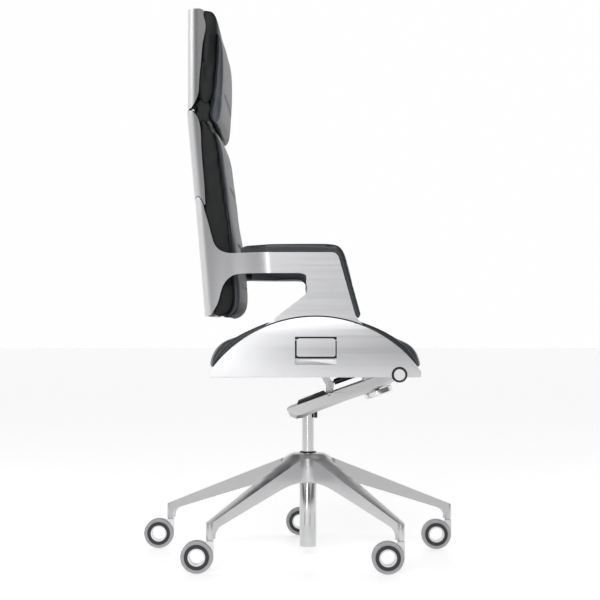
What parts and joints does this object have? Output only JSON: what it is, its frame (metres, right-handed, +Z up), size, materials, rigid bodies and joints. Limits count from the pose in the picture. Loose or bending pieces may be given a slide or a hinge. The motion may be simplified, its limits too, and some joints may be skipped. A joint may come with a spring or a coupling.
{
  "type": "swivel office chair",
  "caption": "High-backed swivel office chair with wrap-around metal shells and arms, padded leather, segment-shaped seat sides and a star base on ring casters.",
  "frame": {"origin": "on the swivel column's axis, at floor level", "axes": "+X to the front of the chair, +Y to its left side, +Z up"},
  "size_m": [0.7558, 0.6881, 1.2651],
  "materials": {
    "brushed_shell": "fine brushed, clear anodised",
    "cast_alloy": "satin, fine cast grain",
    "caster_alloy": "satin",
    "ring_plastic": "matte",
    "wheel_rim": "silver grey, soft tread",
    "chromed_tube": "polished",
    "polished_metal": "polished",
    "black_plastic": "fine texture",
    "steel_pin": "turned",
    "black_enamel": "satin black",
    "pad_leather": "smooth blue-black grain",
    "liner_leather": "smooth black grain",
    "arm_leather": "smooth blue-black grain"
  },
  "bodies": {
    "base": {"star_base": "cast_alloy", "stand_tube": "chromed_tube", "guide_bush": "black_plastic", "bottom_plate": "steel_pin", "caster_stems": "steel_pin"},
    "lift_rod": {"piston_rod": "chromed_tube"},
    "column": {"gas_tube": "chromed_tube", "carrier_bar": "cast_alloy", "carrier_cover": "black_plastic", "valve_actuator": "black_plastic", "front_axle": "steel_pin", "pivot_rings": "black_plastic", "pivot_caps": "polished_metal", "linkage_pins": "steel_pin", "damper_tube": "black_enamel"},
    "tension_knob": {"tension_knob": "polished_metal"},
    "rocker": {"rocker_link": "cast_alloy"},
    "damper_rod": {"damper_rod": "chromed_tube", "link_bolt": "steel_pin"},
    "seat": {"side_panel_right": "brushed_shell", "side_panel_left": "brushed_shell", "pivot_bosses": "black_plastic", "seat_pan": "black_enamel", "seat_cushion": "pad_leather", "seat_bolsters": "liner_leather", "flap_pins": "steel_pin"},
    "flap_right": {"flap_lever_right": "brushed_shell"},
    "flap_left": {"flap_lever_left": "brushed_shell"},
    "back": {"lower_shell": "brushed_shell", "mid_shell": "brushed_shell", "back_liner": "liner_leather", "back_pad": "pad_leather", "arm_pad_right": "arm_leather", "arm_pad_left": "arm_leather", "arm_tongues": "black_plastic", "head_hinge_pin": "steel_pin"},
    "head": {"head_shell": "brushed_shell", "head_liner": "liner_leather", "head_pad": "pad_leather"},
    "caster_1": {"caster_1_body": "caster_alloy", "caster_1_rings": "ring_plastic"},
    "caster_1_right": {"caster_1_wheel_right": "wheel_rim"},
    "caster_1_left": {"caster_1_wheel_left": "wheel_rim"},
    "caster_2": {"caster_2_body": "caster_alloy", "caster_2_rings": "ring_plastic"},
    "caster_2_right": {"caster_2_wheel_right": "wheel_rim"},
    "caster_2_left": {"caster_2_wheel_left": "wheel_rim"},
    "caster_3": {"caster_3_body": "caster_alloy", "caster_3_rings": "ring_plastic"},
    "caster_3_right": {"caster_3_wheel_right": "wheel_rim"},
    "caster_3_left": {"caster_3_wheel_left": "wheel_rim"},
    "caster_4": {"caster_4_body": "caster_alloy", "caster_4_rings": "ring_plastic"},
    "caster_4_right": {"caster_4_wheel_right": "wheel_rim"},
    "caster_4_left": {"caster_4_wheel_left": "wheel_rim"},
    "caster_5": {"caster_5_body": "caster_alloy", "caster_5_rings": "ring_plastic"},
    "caster_5_right": {"caster_5_wheel_right": "wheel_rim"},
    "caster_5_left": {"caster_5_wheel_left": "wheel_rim"}
  },
  "joints": [
    {"name": "column_swivel", "type": "hinge", "parent": "base", "child": "lift_rod", "pos_m": [0, 0, 0.1], "axis": [0, 0, 1], "continuous": true},
    {"name": "column_lift", "type": "slide", "parent": "lift_rod", "child": "column", "axis": [0, 0, 1], "range_m": [-0.075, 0.02]},
    {"name": "seat_tilt", "type": "hinge", "parent": "column", "child": "seat", "pos_m": [0.2, 0, 0.439], "axis": [0, -1, 0], "range_deg": [0, 8], "stiffness_Nm_per_rad": 500, "springref_deg": -8.59},
    {"name": "back_recline", "type": "hinge", "parent": "seat", "child": "back", "pos_m": [0.015, 0, 0.283], "axis": [0, -1, 0], "range_deg": [0, 12]},
    {"name": "rocker_turn", "type": "hinge", "parent": "column", "child": "rocker", "pos_m": [0.0505, 0, 0.384], "axis": [0, -1, 0], "range_deg": [0, 38]},
    {"name": "damper_stroke", "type": "slide", "parent": "column", "child": "damper_rod", "axis": [-0.9415, 0, -0.3371], "range_m": [0, 0.016]},
    {"name": "head_tilt", "type": "hinge", "parent": "back", "child": "head", "pos_m": [-0.262, 0, 1.036], "axis": [0, 1, 0], "range_deg": [-5, 8]},
    {"name": "flap_right_lift", "type": "hinge", "parent": "seat", "child": "flap_right", "pos_m": [0.0164, -0.3066, 0.5154], "axis": [-1, 0, 0], "range_deg": [0, 25], "stiffness_Nm_per_rad": 0.05, "springref_deg": -20.05},
    {"name": "flap_left_lift", "type": "hinge", "parent": "seat", "child": "flap_left", "pos_m": [0.0164, 0.3066, 0.5154], "axis": [1, 0, 0], "range_deg": [0, 25], "stiffness_Nm_per_rad": 0.05, "springref_deg": -20.05},
    {"name": "tension_turn", "type": "hinge", "parent": "column", "child": "tension_knob", "pos_m": [0.167, 0, 0.3946], "axis": [-0.3371, 0, 0.9415], "range_deg": [-720, 720]},
    {"name": "caster_1_swivel", "type": "hinge", "parent": "base", "child": "caster_1", "pos_m": [0.0094, 0.35888, 0.072], "axis": [0, 0, 1], "continuous": true},
    {"name": "caster_1_right_roll", "type": "hinge", "parent": "caster_1", "child": "caster_1_right", "pos_m": [-0.0193, 0.35888, 0.036], "axis": [0, 1, 0], "continuous": true},
    {"name": "caster_1_left_roll", "type": "hinge", "parent": "caster_1", "child": "caster_1_left", "pos_m": [-0.0193, 0.35888, 0.036], "axis": [0, 1, 0], "continuous": true},
    {"name": "caster_2_swivel", "type": "hinge", "parent": "base", "child": "caster_2", "pos_m": [-0.33841, 0.11984, 0.072], "axis": [0, 0, 1], "continuous": true},
    {"name": "caster_2_right_roll", "type": "hinge", "parent": "caster_2", "child": "caster_2_right", "pos_m": [-0.36711, 0.11984, 0.036], "axis": [0, 1, 0], "continuous": true},
    {"name": "caster_2_left_roll", "type": "hinge", "parent": "caster_2", "child": "caster_2_left", "pos_m": [-0.36711, 0.11984, 0.036], "axis": [0, 1, 0], "continuous": true},
    {"name": "caster_3_swivel", "type": "hinge", "parent": "base", "child": "caster_3", "pos_m": [-0.21854, -0.28481, 0.072], "axis": [0, 0, 1], "continuous": true},
    {"name": "caster_3_right_roll", "type": "hinge", "parent": "caster_3", "child": "caster_3_right", "pos_m": [-0.24724, -0.28481, 0.036], "axis": [0, 1, 0], "continuous": true},
    {"name": "caster_3_left_roll", "type": "hinge", "parent": "caster_3", "child": "caster_3_left", "pos_m": [-0.24724, -0.28481, 0.036], "axis": [0, 1, 0], "continuous": true},
    {"name": "caster_4_swivel", "type": "hinge", "parent": "base", "child": "caster_4", "pos_m": [0.20334, -0.29586, 0.072], "axis": [0, 0, 1], "continuous": true},
    {"name": "caster_4_right_roll", "type": "hinge", "parent": "caster_4", "child": "caster_4_right", "pos_m": [0.17464, -0.29586, 0.036], "axis": [0, 1, 0], "continuous": true},
    {"name": "caster_4_left_roll", "type": "hinge", "parent": "caster_4", "child": "caster_4_left", "pos_m": [0.17464, -0.29586, 0.036], "axis": [0, 1, 0], "continuous": true},
    {"name": "caster_5_swivel", "type": "hinge", "parent": "base", "child": "caster_5", "pos_m": [0.34422, 0.10196, 0.072], "axis": [0, 0, 1], "continuous": true},
    {"name": "caster_5_right_roll", "type": "hinge", "parent": "caster_5", "child": "caster_5_right", "pos_m": [0.31552, 0.10196, 0.036], "axis": [0, 1, 0], "continuous": true},
    {"name": "caster_5_left_roll", "type": "hinge", "parent": "caster_5", "child": "caster_5_left", "pos_m": [0.31552, 0.10196, 0.036], "axis": [0, 1, 0], "continuous": true}
  ],
  "couplings": [
    {"joint": "back_recline", "follows": "seat_tilt", "ratio": 1.5},
    {"joint": "rocker_turn", "follows": "seat_tilt", "ratio": 4.75},
    {"joint": "damper_stroke", "follows": "seat_tilt", "m_per_rad": 0.1145}
  ]
}
